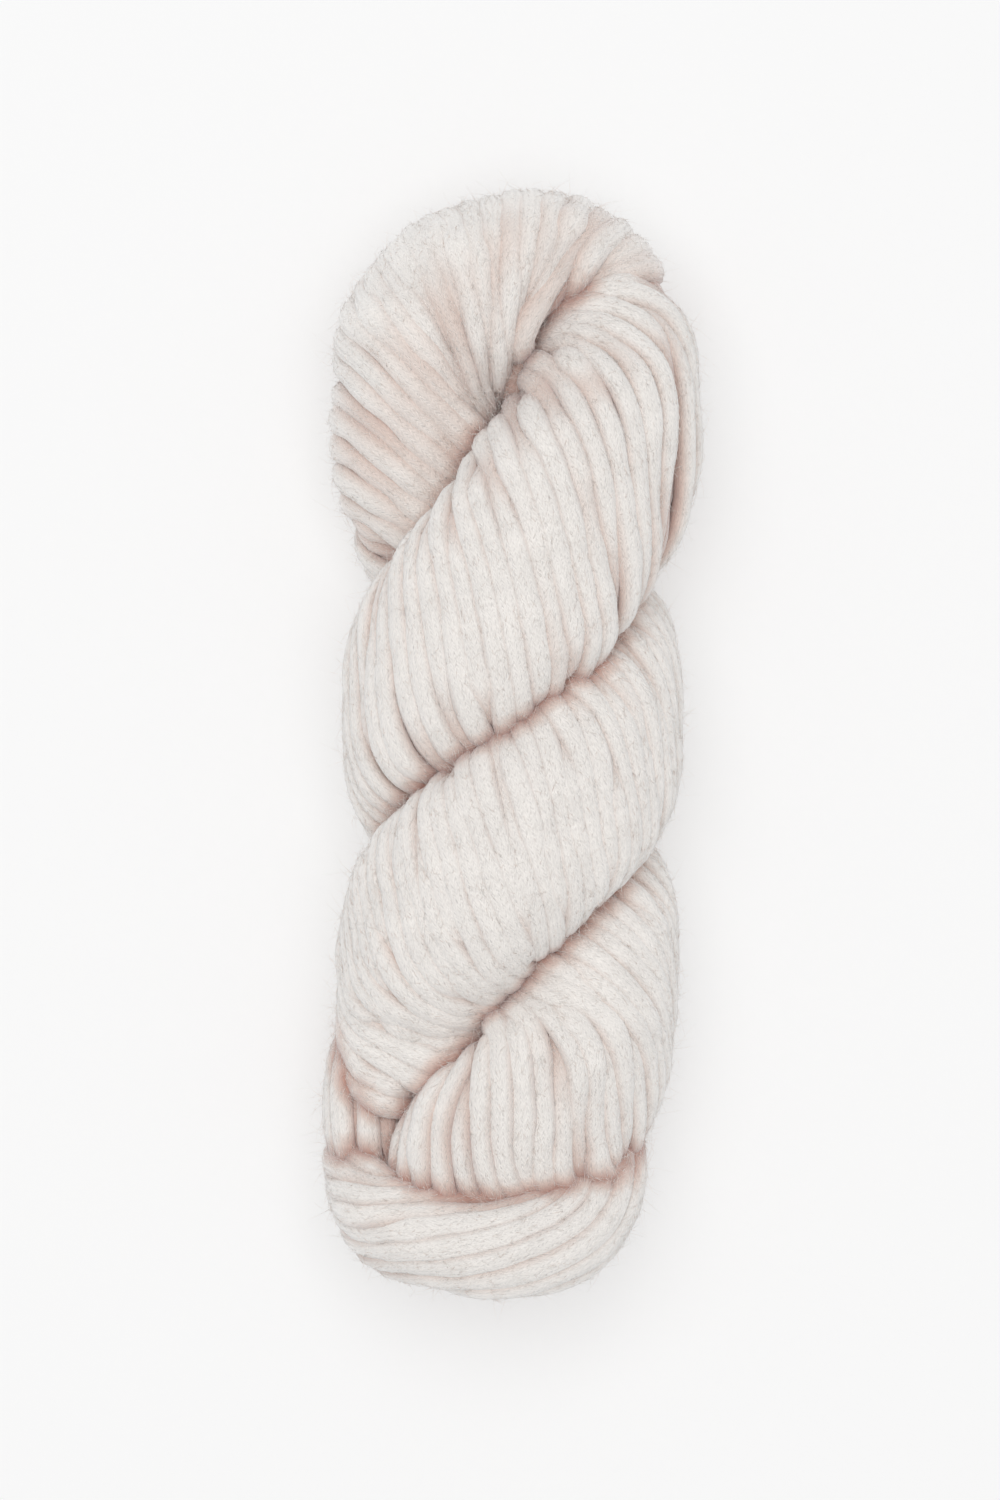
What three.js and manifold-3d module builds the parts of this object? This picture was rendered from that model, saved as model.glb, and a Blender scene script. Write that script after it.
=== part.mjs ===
// A twisted hank of bulky wool yarn lying on its back, as one solid of its wound form.
// Millimetres, +Z up. The hank lies along Y with the fold at +Y, and rests on z = 0.
import * as THREE from "three";
import { mergeVertices } from "three/addons/utils/BufferGeometryUtils.js";
import Module from "manifold-3d";

const foldTop = 112.9;          // height along Y of the middle of the bundle at the fold
const foldRadius = 21;          // how sharply the bundle turns over at the fold
const foldLift = 5;             // how much further out the bundle's middle lies at the fold,
const foldTuck = 8;             // and how much thinner its inner side is, so that the fold closes
const squash = 0.88;            // the soft rope settles to this share of its round depth
const restDepth = 31.5;         // axis of the rope above the surface that it rests on
const settleDepth = 5;          // height over which the underside is pressed flat
const flatCut = 0.9;            // what the pressed underside loses to its flat spot
const sectionPower = 2.35;      // 2 is an ellipse, more is squarer
const originX = -0.46;           // where the middle of the hank's box is, across its axis
const ringsPerTurn = 32;        // sections in one turn of the rope
const around = 34;              // points round one bundle
const endRings = 7;             // sections in each round end
const eyeRings = 56;            // sections round the eye, and points round its bundle
const eyeAround = 26;
const surfaceSize = 400;        // block that cuts the flat spot
const mergeWithin = 1e-4;

// Strands that fill the bend between the two bundles: half sizes and middle of an ellipsoid.
const filling = { x: 16, y: 16, z: 17, middleX: 3, middleY: 91, middleZ: 27.5 };

// The two bundles twist round each other. At each height y: how far the second bundle has
// turned round the axis (0 is the right edge, 90 faces up), where the axis runs, how far the
// bundle's middle is from it, and the bundle's half sizes away from, toward and across it.
const rope = [
  { y: 112.9, turn: -42, axisX: 3.0, axisZ: -4.0, offset: 22.6, out: 22.6, inner: 20.4, across: 27.0 },
  { y: 94.0, turn: -9, axisX: 0.6, axisZ: -4.5, offset: 22.0, out: 22.9, inner: 21.6, across: 28.0 },
  { y: 74.3, turn: 24, axisX: 0.7, axisZ: -4.0, offset: 23.0, out: 23.4, inner: 25.0, across: 28.5 },
  { y: 37.4, turn: 90, axisX: 0.5, axisZ: 0, offset: 21.2, out: 21.2, inner: 22.4, across: 28.5 },
  { y: 5.9, turn: 180, axisX: -0.2, axisZ: 0, offset: 20.7, out: 21.2, inner: 21.1, across: 26.6 },
  { y: -25.3, turn: 270, axisX: 0, axisZ: 0, offset: 20.7, out: 20.9, inner: 21.1, across: 25.6 },
  { y: -56.6, turn: 357, axisX: -1.2, axisZ: -1.5, offset: 20.7, out: 21.2, inner: 21.8, across: 26.4 },
  { y: -73.3, turn: 380, axisX: -2.2, axisZ: -3.0, offset: 20.4, out: 21.2, inner: 22.0, across: 26.0 },
  { y: -88.1, turn: 410, axisX: -3.6, axisZ: -4.0, offset: 19.2, out: 19.2, inner: 21.2, across: 27.6 },
  { y: -100.4, turn: 428, axisX: -3.4, axisZ: -4.0, offset: 16.4, out: 18.2, inner: 18.2, across: 30.6 },
  { y: -110.2, turn: 440, axisX: -3.0, axisZ: -4.0, offset: 12.0, out: 18.5, inner: 18.5, across: 28.6 },
  { y: -122.5, turn: 450, axisX: -4.4, axisZ: -4.5, offset: 5.0, out: 18.5, inner: 18.5, across: 24.0 },
  { y: -133.1, turn: 455, axisX: -6.2, axisZ: -4.5, offset: 2.0, out: 15.0, inner: 15.0, across: 20.0 },
];

// The second bundle's end goes under the collar, drops to the surface and stops inside it.
const tail = [
  { y: 112.9, drop: 0 },
  { y: -85.0, drop: 0 },
  { y: -100.4, drop: 3 },
  { y: -112.0, drop: 9 },
  { y: -124.0, drop: 15 },
  { y: -133.1, drop: 17 },
];
const neckLean = [
  { y: 112.9, lean: 0 },
  { y: -82.0, lean: 0 },
  { y: -90.0, lean: -1 },
  { y: -98.0, lean: -3 },
  { y: -106.0, lean: -2 },
  { y: -114.0, lean: 0 },
  { y: -133.1, lean: 0 },
];
// The first bundle's end rises over the start of the eye, as a lip.
const lip = [
  { y: 112.9, rise: 0 },
  { y: -45.0, rise: 0 },
  { y: -60.0, rise: 0.5 },
  { y: -73.0, rise: 5 },
  { y: -84.0, rise: 12 },
  { y: -95.0, rise: 17 },
  { y: -133.1, rise: 22 },
];
const firstBundleEnd = { from: -80, to: -90.5 };
const secondBundleEnd = { from: -106, to: -121 };

// The first bundle's end opens as an eye round the second one: down the left edge, across
// the front as the collar, up the right edge and back behind. Half sizes away from and
// across the way to the eye's middle.
const eyeMiddle = new THREE.Vector3(-1, -99, -2);
const eye = [
  { x: -25.5, y: -62.0, z: -8.0, out: 10.0, across: 14.0 },
  { x: -34.5, y: -82.0, z: -5.0, out: 10.8, across: 16.0 },
  { x: -36.3, y: -100.4, z: 2.0, out: 11.0, across: 16.5 },
  { x: -30.5, y: -114.0, z: 11.0, out: 11.4, across: 14.5 },
  { x: -17.5, y: -120.0, z: 20.0, out: 13.0, across: 12.0 },
  { x: -2.0, y: -122.0, z: 23.0, out: 14.0, across: 11.5 },
  { x: 12.0, y: -119.8, z: 19.0, out: 12.6, across: 11.5 },
  { x: 20.8, y: -112.6, z: 6.0, out: 10.5, across: 13.5 },
  { x: 22.6, y: -101.0, z: -6.2, out: 9.5, across: 14.5 },
  { x: 16.5, y: -90.5, z: -16.0, out: 9.5, across: 14.0 },
  { x: 1.7, y: -83.1, z: -21.0, out: 9.5, across: 13.5 },
  { x: -14.3, y: -75.0, z: -17.0, out: 9.5, across: 13.5 },
];

// Smooth value of one column of a table whose rows go down in y, without overshoot.
function at(table, column, y) {
  const last = table.length - 2;
  let i = 0;
  while (i < last && y < table[i + 1].y) i += 1;
  const step = (j) => table[j + 1].y - table[j].y;
  const rate = (j) => (table[j + 1][column] - table[j][column]) / step(j);
  const slope = (j) => {
    if (j === 0) return rate(0);
    if (j === table.length - 1) return rate(j - 1);
    const before = rate(j - 1);
    const after = rate(j);
    return before * after > 0 ? (2 * before * after) / (before + after) : 0;
  };
  const t = THREE.MathUtils.clamp((y - table[i].y) / step(i), 0, 1);
  const h = step(i);
  return (1 + 2 * t) * (1 - t) ** 2 * table[i][column] + t * (1 - t) ** 2 * h * slope(i)
    + t * t * (3 - 2 * t) * table[i + 1][column] + t * t * (t - 1) * h * slope(i + 1);
}

// Place along a bundle: u = 0 is the top of the fold, 1 the end of the bend.
function heightAt(u) {
  const bend = Math.min(u, 1) * Math.PI / 2;
  const below = Math.max(u - 1, 0) * Math.PI / 2;
  return foldTop - foldRadius * (1 - Math.cos(bend) + below);
}

// The same place from a height below the bend.
function uAt(y) {
  return 1 + (foldTop - foldRadius - y) / (foldRadius * Math.PI / 2);
}

// Middle of a bundle; side is -1 for the first bundle and 1 for the second.
function middleAt(side, u) {
  const y = heightAt(u);
  const opened = Math.sin(Math.min(u, 1) * Math.PI / 2);
  const reach = at(rope, "offset", y) * opened;
  const turn = THREE.MathUtils.degToRad(at(rope, "turn", y));
  const drop = side > 0 ? at(tail, "drop", y) : -at(lip, "rise", y);
  const lean = side > 0 ? at(neckLean, "lean", y) : 0;
  return new THREE.Vector3(
    at(rope, "axisX", y) + side * reach * Math.cos(turn) + lean,
    y + foldLift * (1 - opened),
    at(rope, "axisZ", y) + side * reach * Math.sin(turn) - drop,
  );
}

// Points of one closed section: out along the normal, in against it, across to each side.
function sectionPoints(middle, along, outward, sizes, count) {
  const tangent = along.clone().normalize();
  const normal = outward.clone().addScaledVector(tangent, -outward.dot(tangent)).normalize();
  const side = new THREE.Vector3().crossVectors(tangent, normal);
  const points = [];
  for (let i = 0; i < count; i += 1) {
    const angle = (i / count) * Math.PI * 2;
    const c = Math.cos(angle);
    const s = Math.sin(angle);
    const k = (Math.abs(c) ** sectionPower + Math.abs(s) ** sectionPower) ** (-1 / sectionPower);
    const far = c > 0 ? sizes.out : sizes.inner;
    points.push(middle.clone()
      .addScaledVector(normal, c * k * far)
      .addScaledVector(side, s * k * sizes.across));
  }
  return points;
}

// The section of a bundle at u, shrinking to a round end past end.from.
function bundleSection(side, u, end) {
  const y = heightAt(u);
  const step = 0.001;
  const middle = middleAt(side, u);
  const along = middleAt(side, u + step).sub(middleAt(side, Math.max(u - step, 0)));
  const bend = Math.min(u, 1) * Math.PI / 2;
  const turn = THREE.MathUtils.degToRad(at(rope, "turn", y));
  const outward = new THREE.Vector3(
    side * Math.cos(turn) * Math.sin(bend),
    Math.cos(bend),
    side * Math.sin(turn) * Math.sin(bend),
  );
  if (u === 0) along.set(side * Math.cos(turn), 0, side * Math.sin(turn));
  const past = THREE.MathUtils.clamp((y - end.from) / (end.to - end.from), 0, 1);
  const size = Math.sqrt(1 - past * past);
  const folded = 1 - Math.sin(bend);
  const sizes = {
    out: (at(rope, "out", y) - foldLift * folded) * size,
    inner: (at(rope, "inner", y) - foldTuck * folded) * size,
    across: at(rope, "across", y) * size,
  };
  return sectionPoints(middle, along, outward, sizes, around);
}

// The rope is less deep than wide, and the surface presses its underside flat.
function settle(point) {
  const z = point.z * squash + restDepth;
  const pressed = settleDepth * Math.exp(z / settleDepth - 1);
  return new THREE.Vector3(point.x, point.y, z < settleDepth ? pressed : z);
}

// Closed body through rings of points; the ends are closed by fans, or joined if it loops.
function skin(rings, loops) {
  const count = rings[0].length;
  const positions = [];
  const triangles = [];
  rings.flat().map(settle).forEach((p) => positions.push(p.x, p.y, p.z));
  const spans = loops ? rings.length : rings.length - 1;
  for (let r = 0; r < spans; r += 1) {
    const next = (r + 1) % rings.length;
    for (let i = 0; i < count; i += 1) {
      const j = (i + 1) % count;
      const a = r * count + i;
      const b = r * count + j;
      const c = next * count + j;
      const d = next * count + i;
      triangles.push(a, b, c, a, c, d);
    }
  }
  if (!loops) {
    [0, rings.length - 1].forEach((r) => {
      const centre = rings[r].reduce((sum, p) => sum.add(p), new THREE.Vector3());
      const tip = settle(centre.divideScalar(count));
      positions.push(tip.x, tip.y, tip.z);
      const tipIndex = positions.length / 3 - 1;
      for (let i = 0; i < count; i += 1) {
        const a = r * count + i;
        const b = r * count + (i + 1) % count;
        triangles.push(...(r === 0 ? [tipIndex, b, a] : [tipIndex, a, b]));
      }
    });
  }
  const geometry = new THREE.BufferGeometry();
  geometry.setAttribute("position", new THREE.Float32BufferAttribute(positions, 3));
  geometry.setIndex(triangles);
  return geometry;
}

function bundle(side, end) {
  const count = Math.round(uAt(end.from) * ringsPerTurn / 4);
  const rings = [];
  for (let i = 0; i < count; i += 1) {
    rings.push(bundleSection(side, uAt(end.from) * i / count, end));
  }
  for (let i = 0; i < endRings; i += 1) {
    const share = Math.sin((i / endRings) * Math.PI / 2);
    rings.push(bundleSection(side, uAt(end.from + share * (end.to - end.from)), end));
  }
  return skin(rings, false);
}

function eyeLoop() {
  const path = new THREE.CatmullRomCurve3(
    eye.map((p) => new THREE.Vector3(p.x, p.y, p.z)), true, "catmullrom", 0.5,
  );
  const sizePath = new THREE.CatmullRomCurve3(
    eye.map((p) => new THREE.Vector3(p.out, p.across, 0)), true, "catmullrom", 0.5,
  );
  const rings = [];
  for (let i = 0; i < eyeRings; i += 1) {
    const t = i / eyeRings;
    const middle = path.getPoint(t);
    const size = sizePath.getPoint(t);
    const sizes = { out: size.x, inner: size.x, across: size.y };
    const outward = middle.clone().sub(eyeMiddle);
    rings.push(sectionPoints(middle, path.getTangent(t), outward, sizes, eyeAround));
  }
  return skin(rings, true);
}

const wasm = await Module();
wasm.setup();

function solidOf(geometry) {
  const bare = geometry.clone();
  bare.deleteAttribute("normal");
  bare.deleteAttribute("uv");
  const merged = mergeVertices(bare, mergeWithin);
  return new wasm.Manifold(new wasm.Mesh({
    numProp: 3,
    vertProperties: new Float32Array(merged.attributes.position.array),
    triVerts: new Uint32Array(merged.index.array),
  }));
}

function geometryOf(solid) {
  const mesh = solid.getMesh();
  const geometry = new THREE.BufferGeometry();
  geometry.setAttribute("position", new THREE.BufferAttribute(mesh.vertProperties, 3));
  geometry.setIndex(new THREE.BufferAttribute(mesh.triVerts, 1));
  geometry.computeVertexNormals();
  return geometry;
}

function bendFilling() {
  return new THREE.SphereGeometry(1, 24, 16)
    .scale(filling.x, filling.y, filling.z)
    .translate(filling.middleX, filling.middleY, filling.middleZ);
}

const wound = solidOf(bundle(-1, firstBundleEnd))
  .add(solidOf(bendFilling()))
  .add(solidOf(bundle(1, secondBundleEnd)))
  .add(solidOf(eyeLoop()));
const belowSurface = new THREE.BoxGeometry(surfaceSize, surfaceSize, surfaceSize)
  .translate(0, 0, flatCut - surfaceSize / 2);
const resting = wound.subtract(solidOf(belowSurface));

const hank = new THREE.Mesh(
  geometryOf(resting),
  new THREE.MeshStandardMaterial({ color: "#e9e2dd", roughness: 0.95, metalness: 0 }),
);
hank.name = "hank";
hank.position.set(-originX, 0, -flatCut);

const group = new THREE.Group();
group.add(hank);
export default group;
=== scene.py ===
import math

import bpy
import numpy as np
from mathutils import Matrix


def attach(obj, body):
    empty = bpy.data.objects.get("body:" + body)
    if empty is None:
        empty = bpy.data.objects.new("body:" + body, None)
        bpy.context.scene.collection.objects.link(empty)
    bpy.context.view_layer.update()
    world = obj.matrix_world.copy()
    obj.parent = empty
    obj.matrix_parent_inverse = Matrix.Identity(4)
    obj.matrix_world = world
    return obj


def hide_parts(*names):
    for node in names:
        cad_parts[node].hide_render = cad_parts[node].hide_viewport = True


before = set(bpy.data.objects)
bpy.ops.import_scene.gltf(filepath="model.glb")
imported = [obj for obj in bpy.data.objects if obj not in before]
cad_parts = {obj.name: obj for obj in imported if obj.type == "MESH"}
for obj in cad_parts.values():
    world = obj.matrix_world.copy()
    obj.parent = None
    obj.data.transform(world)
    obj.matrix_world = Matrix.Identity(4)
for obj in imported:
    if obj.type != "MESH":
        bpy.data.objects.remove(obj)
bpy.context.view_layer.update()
mm = 0.001
quarterTurn = math.pi / 2
fullTurn = 2 * math.pi


# Camera: straight above, far enough off for a nearly flat view.
view = {
    "eye": (-2.74, -2.0, 1600.0),  # mm
    "middle": 30.0,                # mm, height of the yarn's middle
    "tall": 369.0,                 # mm at that height that the picture takes in from top to bottom
    "sensor": 36.0,
}


def makeCamera():
    data = bpy.data.cameras.new("camera")
    data.sensor_fit = "VERTICAL"
    data.sensor_height = view["sensor"]
    data.lens = view["sensor"] * (view["eye"][2] - view["middle"]) / view["tall"]
    data.clip_start = 0.01
    data.clip_end = 50
    camera = bpy.data.objects.new("camera", data)
    camera.location = [v * mm for v in view["eye"]]
    bpy.context.scene.collection.objects.link(camera)
    bpy.context.scene.camera = camera


makeCamera()
print("camera set")


# The hank's main form: two bundles that leave the fold at the top and turn round each other.
hank = {
    "foldTop": 112.9,       # mm, all in the CAD part's own frame
    "foldRadius": 21.0,
    "foldLift": 5.0,        # the bend's middle lies that much further out,
    "foldTuck": 8.0,        # and its inner side is that much thinner, so the bend closes
    "squash": 0.88,         # lying down flattens it
    "restHeight": 31.5,
    "pressed": 5.0,         # the lowest part spreads on the floor
    "flatCut": 0.9,         # so far down, to rest on the floor
    "power": 2.35,          # section between an ellipse and a rounded box
    "radius": 22.0,         # a bundle's, roughly
    "shiftX": 0.46,         # to the middle of its own box
}
# height, turn in degrees, axis x and z, offset of a bundle, its outer, inner and across half sizes
ropeRows = np.array([
    (112.9, -42, 3.0, -4.0, 22.6, 22.6, 20.4, 27.0),
    (94.0, -9, 0.6, -4.5, 22.0, 22.9, 21.6, 28.0),
    (74.3, 24, 0.7, -4.0, 23.0, 23.4, 25.0, 28.5),
    (37.4, 90, 0.5, 0, 21.2, 21.2, 22.4, 28.5),
    (5.9, 180, -0.2, 0, 20.7, 21.2, 21.1, 26.6),
    (-25.3, 270, 0, 0, 20.7, 20.9, 21.1, 25.6),
    (-56.6, 357, -1.2, -1.5, 20.7, 21.2, 21.8, 26.4),
    (-73.3, 380, -2.2, -3.0, 20.4, 21.2, 22.0, 26.0),
    (-88.1, 410, -3.6, -4.0, 19.2, 19.2, 21.2, 27.6),
    (-100.4, 428, -3.4, -4.0, 16.4, 18.2, 18.2, 30.6),
    (-110.2, 440, -3.0, -4.0, 12.0, 18.5, 18.5, 28.6),
    (-122.5, 450, -4.4, -4.5, 5.0, 18.5, 18.5, 24.0),
    (-133.1, 455, -6.2, -4.5, 2.0, 15.0, 15.0, 20.0),
])
secondDrop = np.array([(112.9, 0), (-85, 0), (-100.4, 3), (-112, 9), (-124, 15), (-133.1, 17)])
firstRise = np.array([(112.9, 0), (-45, 0), (-60, 0.5), (-73, 5), (-84, 12), (-95, 17), (-133.1, 22)])
secondLean = np.array([(112.9, 0), (-82, 0), (-90, -1), (-98, -3), (-106, -2), (-114, 0), (-133.1, 0)])
# How fast the strands turn round their own bundle: place down the bundle, radians a unit.
firstLay = [(0, -6.0), (0.45, -7.2), (0.75, -8.0), (1.05, -6.4), (1.35, -5.4),
            (1.65, -4.2), (2.3, -4.3), (3.45, -4.2), (3.75, -4.9), (4.05, -5.6), (4.35, -5.6),
            (4.65, -6.9), (4.95, -7.8), (5.25, -6.6), (5.55, -4.6), (5.85, -4.5), (6.3, -3.0),
            (7.4, -2.0)]
secondLay = [(0, -6.0), (0.3, -6.4), (0.6, -5.6), (0.8, -3.8), (1.05, -2.7), (1.35, -2.1), (1.65, -1.9),
             (1.95, -2.7), (2.25, -3.2), (2.85, -4.2), (3.15, -5.1), (3.45, -4.3), (3.75, -4.0),
             (4.5, -4.3), (5.25, -4.9), (5.55, -6.0), (5.85, -4.6), (6.15, -4.8), (6.45, -3.4),
             (6.75, -2.5), (7.05, -1.4), (7.4, -1.0)]
# The eye at the bottom end goes once round and laps over its own start: middle of its bundle,
# the two half sizes of its section, and its lay in radians a mm.
eyeMiddle = np.array((-1.0, -99.0, -2.0))
eyeRows = np.array([
    (-22, -93, -20, 8, 10, -0.03), (-32, -98, -15, 9, 12, -0.03), (-37.0, -106, -5, 9.5, 13, -0.03),
    (-32, -116.5, 11, 9.5, 14.5, -0.05), (-17.5, -120, 20, 13, 12, -0.042),
    (-2, -122, 23, 14, 11.5, -0.032), (12.0, -119.8, 19, 12.6, 11.5, -0.03),
    (20.8, -112.6, 6, 10.5, 13.5, -0.03), (22.6, -101.0, -6.2, 9.5, 14.5, -0.02),
    (16.5, -90.5, -16, 9.5, 14, -0.02), (1.7, -83.1, -21, 9.5, 13.5, -0.02),
    (-14.3, -75, -17, 9.5, 13.5, -0.02), (-25.5, -62, -8, 10, 14, -0.005),
    (-34.5, -80, -5, 10.8, 16, 0.0), (-35.5, -96, -2, 10.6, 14.5, 0.0), (-30, -110, -3, 9, 11, 0.0),
])
yarn = {
    "seed": 7,
    "thick": 5.4,            # mm, across one strand
    "loose": 8.5,            # mm; strands nearer than this still push a little
    "step": 4.0,             # mm between the points that are pushed apart
    "layers": [(21, 0.87), (13, 0.72)],      # strands, and how far out they lie
    "eyeLayers": [(13, 0.82), (5, 0.42)],
    "firstEnd": 6.38,        # where the first bundle's strands end, inside the eye
    "secondEnd": 7.05,       # where the second bundle's strands fold over at its nose
    "noseLength": 15.0,
    "endRound": 9.0,         # mm over which a bundle's end rounds off
    "wander": 0.075,         # radians that a strand strays round its bundle,
    "levelWander": 0.06,     # and what share of the bundle it strays outwards or inwards
    "rounds": 70,            # of pushing apart, with the near pairs found anew after each tenth
    "push": 0.25,            # what share of an overlap one round takes away,
    "spread": 0.02,          # and of the gap that is left to the loose distance
    "pushRate": 1.6,
    "stiff": 0.07,
    "homing": 0.10,          # pull back to the strand's own depth
    "slide": 6.0,            # mm it may move along the bundle
    "skin": 0.47,            # of its thickness, from its middle to the bundle's skin
    "smoothing": 0.35,
}


# At the fold the strands fan out: each comes out of the crease, goes straight over the outer
# edge and down the back. They lie on top of the bundle's own strands.
fan = {
    "pitch": 4.55,      # mm from one to the next, a little inside the outer edge
    "inside": 8.0,
    "level": 0.88,
    "round": 165,       # degrees from the outer edge to either end, deep in the crease
    "under": 4.0,       # mm that the bundle's own strands lie lower there
    "edge": 0.40,       # over which these come up to the surface again
    "wander": 0.25,     # mm
    "levelWander": 0.018,
    "wave": 70,         # mm over which the level changes
    "angles": 34,       # points from the outer edge to either end
    "search": (-3.6, 2.0),  # the part of the bundle that the fan covers
    "jump": 0.3,        # the furthest a strand moves along the bundle from point to point
    "smooth": 5,        # points
    "roomSmooth": 13,
    "crowded": 0.65,    # below this share of the pitch every other strand sinks, up to
    "sink": 1.6,        # mm
    "slim": (0.5, 1.2), # least and most width, set against a common strand's
    "slimRate": 1.5,
}
# Seen from above: where a strand crosses the outer edge, x and y in mm, and how many degrees it
# leans from there to the lower right.
fanRows = np.array([
    (-43.3, 62.0, 55), (-44.3, 73.1, 52), (-44.8, 84.1, 49), (-43.8, 95.9, 45), (-41.3, 108.0, 43),
    (-35.7, 118.1, 36), (-29.0, 126.4, 25), (-17.5, 132.1, 13), (-3.2, 135.3, 0), (9.1, 134.6, -13),
    (25.1, 130.1, -40), (33.7, 126.4, -62), (39.1, 118.1, -77),
])


def unit(v):
    return v / np.maximum(np.linalg.norm(v, axis=-1, keepdims=True), 1e-9)


def easeThrough(xs, ys, x):
    # a smooth curve through the rows that never overshoots them
    order = np.argsort(xs)
    xs, ys = np.asarray(xs, float)[order], np.asarray(ys, float)[order]
    h = np.diff(xs)
    d = np.diff(ys) / h
    both, total = d[:-1] * d[1:], d[:-1] + d[1:]
    m = np.concatenate([[d[0]], np.where(both > 0, 2 * both / np.where(total == 0, 1, total), 0), [d[-1]]])
    i = np.clip(np.searchsorted(xs, x) - 1, 0, len(h) - 1)
    t = np.clip((x - xs[i]) / h[i], 0, 1)
    rise = h[i] * (t * (1 - t) ** 2 * m[i] + t * t * (t - 1) * m[i + 1])
    return (1 + 2 * t) * (1 - t) ** 2 * ys[i] + t * t * (3 - 2 * t) * ys[i + 1] + rise


def ropeValue(name, y):
    names = ["y", "turn", "axisX", "axisZ", "offset", "out", "inner", "across"]
    return easeThrough(ropeRows[:, 0], ropeRows[:, names.index(name)], y)


def heightDown(u):
    return hank["foldTop"] - hank["foldRadius"] * (
        1 - np.cos(np.minimum(u, 1) * quarterTurn) + np.maximum(u - 1, 0) * quarterTurn)


def ropeMiddle(w):
    # w runs from the first bundle's end (negative) over the fold (0) to the second's
    side, u = np.where(w < 0, -1.0, 1.0), np.abs(w)
    y = heightDown(u)
    turn = np.radians(ropeValue("turn", y))
    bend = np.sin(np.minimum(u, 1) * quarterTurn)
    reach = side * ropeValue("offset", y) * bend
    drop = np.where(side > 0, easeThrough(secondDrop[:, 0], secondDrop[:, 1], y),
                    -easeThrough(firstRise[:, 0], firstRise[:, 1], y))
    lean = np.where(side > 0, easeThrough(secondLean[:, 0], secondLean[:, 1], y), 0)
    return np.stack([ropeValue("axisX", y) + reach * np.cos(turn) + lean, y + hank["foldLift"] * (1 - bend),
                     ropeValue("axisZ", y) + reach * np.sin(turn) - drop], -1)


def framedPath(middle, along, outward, sizes, turned):
    # everything along a bundle: its middle line, its own directions, its section and its turning
    along = unit(along)
    outward = unit(outward - (outward * along).sum(-1, keepdims=True) * along)
    steps = np.linalg.norm(np.diff(middle, axis=0), axis=1)
    return {
        "place": np.concatenate([[0], np.cumsum(steps)]), "middle": middle, "along": along,
        "outward": outward, "side": np.cross(along, outward), "sizes": sizes, "turned": turned,
    }


def ropePath():
    w = np.linspace(-yarn["firstEnd"], yarn["secondEnd"], 2401)
    gap = w[1] - w[0]
    side, u = np.where(w < 0, -1.0, 1.0), np.abs(w)
    middle = ropeMiddle(w)
    y = heightDown(u)
    turn = np.radians(ropeValue("turn", y))
    bend = np.minimum(u, 1) * quarterTurn
    outward = np.stack([side * np.cos(turn) * np.sin(bend), np.cos(bend),
                        side * np.sin(turn) * np.sin(bend)], -1)
    sizes = np.stack([ropeValue(n, y) for n in ("out", "inner", "across")], -1)
    sizes -= np.array([hank["foldLift"], hank["foldTuck"], 0]) * (1 - np.sin(bend))[:, None]
    length = np.concatenate([[0], np.cumsum(np.linalg.norm(np.diff(middle, axis=0), axis=1))])
    blunt = np.clip(1 - length / yarn["endRound"], 0, 0.97)
    sizes = sizes * np.sqrt(1 - blunt ** 2)[:, None]
    rate = np.where(w < 0, np.interp(u, *np.transpose(firstLay)), np.interp(u, *np.transpose(secondLay)))
    turned = np.concatenate([[0], np.cumsum((rate[1:] + rate[:-1]) / 2 * gap)])
    turned -= np.interp(0, w, turned)
    path = framedPath(middle, np.gradient(middle, axis=0), outward, sizes, turned)
    path["w"] = w
    return path


def curveThrough(rows, count):
    # points along a Catmull-Rom curve through the rows
    last = len(rows) - 1
    t = np.linspace(0, last, count)
    i = np.minimum(t.astype(int), last - 1)
    f = (t - i)[:, None]
    a, b, c, d = (rows[np.clip(i + k, 0, last)] for k in (-1, 0, 1, 2))
    return 0.5 * (2 * b + (c - a) * f + (2 * a - 5 * b + 4 * c - d) * f ** 2
                  + (3 * b - 3 * c + d - a) * f ** 3)


def eyePath():
    curve = curveThrough(eyeRows, 1000)
    middle = curve[:, :3]
    steps = np.linalg.norm(np.diff(middle, axis=0), axis=1)
    length = np.concatenate([[0], np.cumsum(steps)])
    blunt = np.clip(1 - np.minimum(length, length[-1] - length) / yarn["endRound"], 0, 0.97)
    sizes = curve[:, [3, 3, 4]] * np.sqrt(1 - blunt ** 2)[:, None]
    turned = np.concatenate([[0], np.cumsum(steps * (curve[1:, 5] + curve[:-1, 5]) / 2)])
    return framedPath(middle, np.gradient(middle, axis=0), middle - eyeMiddle, sizes, turned)


def sectionReach(angle, sizes):
    # how far the section's edge is in that direction
    c, s = np.cos(angle), np.sin(angle)
    power = hank["power"]
    far = np.where(c > 0, sizes[:, 0], sizes[:, 1])
    return (np.abs(c / far) ** power + np.abs(s / sizes[:, 2]) ** power) ** (-1 / power)


def slowWave(rng, place, longest):
    # a random curve that changes over about that many mm, between about -1 and 1
    total = 0
    for k in range(4):
        size = rng.normal() * 0.62 ** k
        total = total + size * np.sin(place * (0.9 + 1.1 * k) * fullTurn / longest + rng.uniform(0, 6.3))
    return total


def underFan(path, angle):
    # 1 where the fan's strands cover that side of the bundle, 0 beyond them
    angle = (angle + math.pi) % (fullTurn) - math.pi
    low, high = (np.interp(angle, path["fanAngle"], path[name]) for name in ("fanFirst", "fanLast"))
    rise = np.clip((path["w"] - low) / fan["edge"] + 1, 0, 1)
    fall = np.clip((high - path["w"]) / fan["edge"] + 1, 0, 1)
    both = np.minimum(rise, fall)
    return both * both * (3 - 2 * both)


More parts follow.
